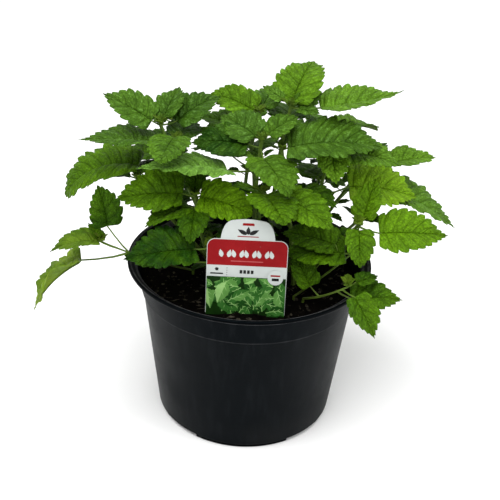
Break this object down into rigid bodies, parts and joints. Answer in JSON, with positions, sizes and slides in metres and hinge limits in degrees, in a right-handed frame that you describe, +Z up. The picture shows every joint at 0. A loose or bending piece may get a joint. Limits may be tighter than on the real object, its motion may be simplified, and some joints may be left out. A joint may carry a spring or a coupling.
{
  "type": "potted lemon balm",
  "caption": "Bushy potted herb with toothed oval leaves on square stems, in a round black nursery pot with soil and an upright plant label.",
  "frame": {"origin": "middle of the pot's underside, on the surface that the pot stands on", "axes": "+Z up through the pot's axis; +X to the right as seen from the label's printed side, along the clump's longest extent; +Y away from the label's printed side"},
  "size_m": [0.2784, 0.2039, 0.2387],
  "materials": {
    "pot_plastic": "satin black plastic",
    "peat": "rough dark peat",
    "label_plastic": "smooth printed plastic",
    "foliage": "matte living leaf"
  },
  "bodies": {
    "root": {"pot": "pot_plastic", "soil": "peat", "plant_label": "label_plastic", "stem_far_left": "foliage", "stem_left_up": "foliage", "stem_left_mid": "foliage", "stem_front_left": "foliage", "stem_low_left": "foliage", "stem_top_back": "foliage", "stem_centre": "foliage", "stem_top_right": "foliage", "stem_right_up": "foliage", "stem_right_top": "foliage", "stem_right_mid": "foliage", "stem_right_low": "foliage", "stem_front_right": "foliage", "stem_soil_right": "foliage", "stem_low_right": "foliage", "stem_back_left": "foliage", "stem_back_mid": "foliage", "stem_back_right": "foliage", "stem_side_left": "foliage", "stem_side_right": "foliage"}
  },
  "joints": []
}
